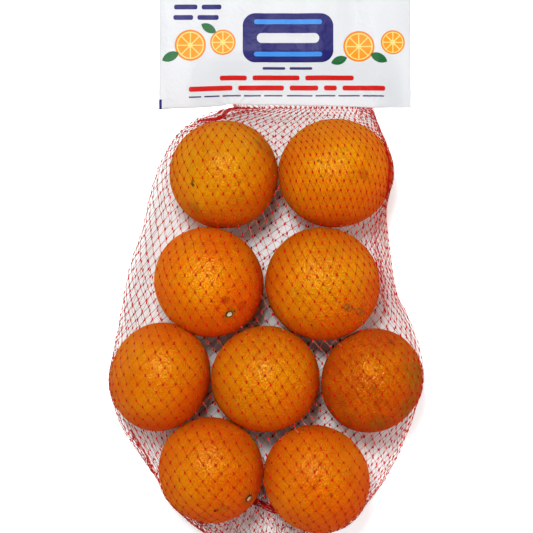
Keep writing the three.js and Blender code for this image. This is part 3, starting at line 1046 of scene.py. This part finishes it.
class Print:
    """Flat fields of colour that are laid over a tint."""

    def __init__(self, shader, tint):
        corner = (LABEL_LEFT + SHIFT[0], LABEL_FOOT + SHIFT[1], 0.0)
        moved = shader.vector("SUBTRACT", shader.place, corner)
        self.shader = shader
        self.place = shader.vector("MULTIPLY", moved, (1 / MM, 1 / MM, 0.0))
        self.tint = tint

    def lay(self, cover, tint):
        self.tint = self.shader.mix(cover, self.tint, tint)

    def disc(self, x, y, radius):
        reach = self.shader.vector("DISTANCE", self.place, (x, y, 0.0))
        return self.shader.fade(reach, radius + PRINT_EDGE, radius - PRINT_EDGE)

    def bar(self, tint, x, y, width, height, corner):
        vector = self.shader.vector
        gap = vector("ABSOLUTE", vector("SUBTRACT", self.place, (x, y, 0.0)))
        gap = vector("SUBTRACT", gap, (width / 2 - corner, height / 2 - corner, 0.0))
        gap = vector("LENGTH", vector("MAXIMUM", gap, (0, 0, 0)))
        self.lay(self.shader.fade(gap, corner + PRINT_EDGE, corner - PRINT_EDGE), tint)

    def broken_line(self, tint, y, height, stops):
        for start, end in stops:
            self.bar(tint, (start + end) / 2, y, end - start, height, min(0.45 * height, 1.4))

    def slice(self, x, y, radius):
        """A citrus slice: rind, pith and eight segments."""
        shader = self.shader
        self.lay(self.disc(x, y, radius), ORANGE_PRINT)
        self.lay(self.disc(x, y, 0.88 * radius), PITH)
        away = shader.vector("SUBTRACT", self.place, (x, y, 0.0))
        angle = shader.maths("ARCTAN2", shader.part(away, "Y"), shader.part(away, "X"))
        wedge = shader.maths("ABSOLUTE", shader.maths("SINE", shader.scaled(angle, 4.0)))
        gap = shader.scaled(wedge, shader.vector("LENGTH", away))
        self.lay(shader.scaled(shader.fade(gap, 1.2, 1.9), self.disc(x, y, 0.8 * radius)), FLESH)

    def leaf(self, x, y, length, tilt):
        radius, turn = 0.62 * length, math.radians(tilt + 90)
        offset = math.sqrt(radius ** 2 - (length / 2) ** 2)
        dx, dy = offset * math.cos(turn), offset * math.sin(turn)
        both = self.shader.scaled(self.disc(x + dx, y + dy, radius), self.disc(x - dx, y - dy, radius))
        self.lay(both, LEAF)


def print_on(shader, tint):
    artwork = Print(shader, tint)
    for lay, fields in ((artwork.slice, SLICES), (artwork.leaf, LEAVES), (artwork.bar, BARS),
                        (artwork.broken_line, BROKEN_LINES)):
        for field in fields:
            lay(*field)
    return artwork.tint


def film_plastic(name, printed):
    """White film with soft crinkles and uneven gloss, with or without its print."""
    shader = Shader(name, Specular_IOR_Level=0.25)
    tint = shader.mix(shader.noise(30 * MM), FILM_WHITE, FILM_SHADE)
    shader.set("Base Color", print_on(shader, tint) if printed else tint)
    shader.set("Roughness", shader.scaled(shader.noise(9 * MM, 3.0), 0.2, 0.4))
    creases = shader.maths("ABSOLUTE", shader.maths("SUBTRACT", shader.noise(11 * MM, 3.0, 0.55), 0.5))
    shader.bump(shader.scaled(creases, 1.4, shader.noise(3 * MM)), 0.5 * MM, 0.6)
    return shader.material


def wrinkles(x, y):
    """Height of the film's waves and of the creases that fan out from the neck's corners."""
    right, up = (x - SHIFT[0]) / MM, (y - SHIFT[1] - LABEL_FOOT) / MM
    waves = 0.45 * np.sin(right / 6.1 + 0.4 * np.sin(up / 17)) + 0.3 * np.sin(right / 3.3 + up / 21 + 1.3)
    creases = np.zeros_like(right)
    for corner, phase in ((NECK_LEFT, 0.4), (NECK_RIGHT, 1.1)):
        reach = np.hypot(right - corner, up + 2)
        angle = np.arctan2(up + 2, right - corner)
        creases += 0.5 * np.sin(13 * angle + phase) * np.exp(-(reach / 26) ** 2) * smooth(reach / 8)
    return (waves + creases) * MM


def film(name, side, foot, columns, rows, lift, material):
    """A closed thin film over the header's solid, from its own foot to the header's top."""
    x = np.linspace(label_low.x + SLIDE, label_high.x - SLIDE, columns)
    low = label_low.y + np.interp((x - SHIFT[0]) / MM, *foot) * MM
    up = low + (label_high.y - SLIDE - low) * np.linspace(1, 0, rows)[:, None]
    across = x + 0 * up
    inside = np.clip(up, label_low.y + SLIDE, label_high.y - SLIDE)
    places = np.stack([across, inside], axis=-1).reshape(-1, 2)
    height = Skin("header_label").heights(places, side, 0).reshape(rows, columns)
    beside = np.maximum(NECK_LEFT * MM + SHIFT[0] - x, x - NECK_RIGHT * MM - SHIFT[0])
    height = height * (1 - DROOP * smooth(beside / DROOP_REACH)) + lift
    height = np.maximum(height + WRINKLE_SHARE * wrinkles(across, up) + FILM_GAP, FILM_LEAST)
    layers = [np.stack([across, up, z], axis=-1).reshape(-1, 3) for z in (height + FILM_THICKNESS, height)]
    count = rows * columns
    top = grid_faces(rows, columns)[:, ::-1]
    edge = np.hstack([np.arange(columns - 1), columns - 1 + columns * np.arange(rows - 1),
                      count - 1 - np.arange(columns - 1), columns * np.arange(rows - 1, 0, -1)])
    after = np.roll(edge, -1)
    walls = np.stack([edge, after, after + count, edge + count], axis=1)
    faces = [top, top[:, ::-1] + count, walls]
    piece = new_piece(name, np.vstack(layers), faces, material, "header_label")
    # Film this thin lets the lamps through, so that it throws no shadow to speak of.
    piece.visible_shadow = False


# ---- Floor, light and camera ----

FLOOR_SIZE = 8.0
FLOOR_NEAR = 0.3
FLOOR_STEPS = 121
FLOOR_GLOW = 0.32
GLOW_START = -1.5 * MM
GLOW_FULL = 3 * MM
CAMERA_HEIGHT = 1.5
CAMERA_LENS = 143.19
CAMERA_REACH = 50
SENSOR = 36.0
LAMP_DISTANCE = 1.6
SKY_STRENGTH = 0.2
# A lamp: its tilt from overhead towards +Y and its turn on towards -X, in degrees, its width and its
# power, and whether it lights the scene and whether it is mirrored in it.
Lamp = namedtuple("Lamp", "name tilt turn size power lights mirrored")
LAMPS = [
    Lamp("key", 18, 21, 0.4, 16.7, True, False),
    Lamp("glint", 22, 12, 0.32, 24.0, False, True),
    Lamp("left", 60, 75, 1.0, 4.6, True, False),
    Lamp("right", 60, -95, 1.0, 7.3, True, False),
    Lamp("near", 60, 180, 1.0, 5.5, True, False),
]


def floor():
    """A plain pale floor. Outside the bag's outline it glows faintly, painted light that keeps it a clear
    white there, free of shadow.
    """
    half = FLOOR_SIZE / 2
    steps = np.hstack([-half, np.linspace(-FLOOR_NEAR, FLOOR_NEAR, FLOOR_STEPS), half])
    x, y = np.meshgrid(steps, steps[::-1])
    points = np.stack([x, y, 0 * x], axis=-1).reshape(-1, 3)
    left, right = sides(points, Skin("net_bag").rims())
    beyond = np.max([left - points[:, 0], points[:, 0] - right, cad_bounds[0][1] - points[:, 1]], axis=0)
    shader = Shader("floor", Roughness=0.8, Emission_Color=(1, 1, 1, 1))
    shader.set("Base Color", shader.mix(shader.noise(0.4), colour(242, 249, 251), colour(244, 250, 252)))
    outside = shader.fade(shader.node("Attribute", "Fac", attribute_name="beyond"), GLOW_START, GLOW_FULL)
    # Painted light: the floor glows outside the outline, washing out the shadows there, and not under the
    # bag.
    shader.set("Emission Strength", shader.scaled(outside, FLOOR_GLOW))
    mesh = new_mesh("floor", points, [grid_faces(len(steps), len(steps))[:, ::-1]], shader.material)
    mesh.attributes.new("beyond", "FLOAT", "POINT").data.foreach_set("value", beyond.astype(np.float32))
    piece = added("floor", mesh)
    piece.visible_glossy = False


def light():
    """Round soft lamps aimed at the bag, and a faint even sky."""
    for lamp in LAMPS:
        data = bpy.data.lights.new(lamp.name, "AREA")
        data.shape = "DISK"
        data.size = lamp.size
        data.energy = lamp.power
        piece = added(lamp.name, data)
        tilt, turn = math.radians(lamp.tilt), math.radians(lamp.turn)
        towards = Vector((-math.sin(tilt) * math.sin(turn), math.sin(tilt) * math.cos(turn), math.cos(tilt)))
        piece.location = towards * LAMP_DISTANCE
        piece.rotation_euler = towards.to_track_quat("Z", "Y").to_euler()
        piece.visible_diffuse = lamp.lights
        piece.visible_glossy = lamp.mirrored
    world = bpy.data.worlds.new("studio")
    bpy.context.scene.world = world
    world.use_nodes = True
    sky = world.node_tree.nodes["Background"].inputs
    sky["Color"].default_value = (1, 1, 1, 1)
    sky["Strength"].default_value = SKY_STRENGTH
    world.cycles_visibility.glossy = False
    bpy.context.scene.view_settings.view_transform = "Standard"
    bpy.context.scene.view_settings.look = "Medium High Contrast"


def camera():
    """The camera, straight above the CAD model's own measuring point."""
    data = bpy.data.cameras.new("camera")
    data.sensor_width = SENSOR
    data.lens = CAMERA_LENS
    data.clip_end = CAMERA_REACH
    viewer = added("camera", data)
    viewer.location = in_frame(0, 0, CAMERA_HEIGHT / MM)
    bpy.context.scene.camera = viewer


camera()
light()
floor()
sphere = cube_sphere()
for number, each in enumerate(FRUITS):
    orange(number, each, *sphere)
    if each.stem:
        stem_button(number, each)
net()
film("film_front", 1, FRONT_FOOT, 150, 85, FRONT_LIFT, film_plastic("film_printed", True))
film("film_back", -1, BACK_FOOT, 90, 50, BACK_LIFT, film_plastic("film_plain", False))
